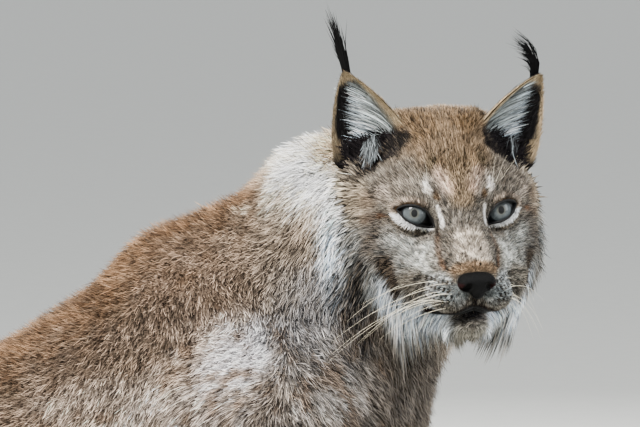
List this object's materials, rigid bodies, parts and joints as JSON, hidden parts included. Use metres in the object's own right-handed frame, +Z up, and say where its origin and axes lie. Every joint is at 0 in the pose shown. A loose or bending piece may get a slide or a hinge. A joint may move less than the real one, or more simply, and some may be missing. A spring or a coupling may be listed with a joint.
{
  "type": "eurasian lynx",
  "caption": "Life-size still model of a lynx sitting upright with its head turned to one side, for display on a floor or plinth.",
  "frame": {"origin": "middle of the base of the whole model's bounding box, on the floor it rests on", "axes": "+X the way the body faces, +Y its left, +Z up; the head is turned 77 degrees to its right, towards -Y"},
  "size_m": [0.7742, 0.3664, 0.7361],
  "materials": {
    "coat": "dense sandy brown fur grizzled with pale tips and faint dark spots",
    "head_coat": "short grizzled fur with long pale ruff locks",
    "pale_coat": "pale cream-grey fur",
    "white_coat": "white fur of the chin and beard",
    "ear_coat": "tan ear edges, white inner hair, black tuft",
    "nose_leather": "damp near-black brown nose leather",
    "eyes": "clear glass eye with a pale grey-green iris",
    "black_fur": "black fur"
  },
  "bodies": {
    "root": {"torso": "coat", "neck": "pale_coat", "head": "head_coat", "muzzle": "pale_coat", "lower_jaw": "white_coat", "nose": "nose_leather", "eye_left": "eyes", "eye_right": "eyes", "ear_left": "ear_coat", "ear_right": "ear_coat", "foreleg_left": "coat", "foreleg_right": "coat", "forefoot_left": "coat", "forefoot_right": "coat", "thigh_left": "coat", "thigh_right": "coat", "hindfoot_left": "coat", "hindfoot_right": "coat", "tail": "coat", "tail_tip": "black_fur"}
  },
  "joints": []
}
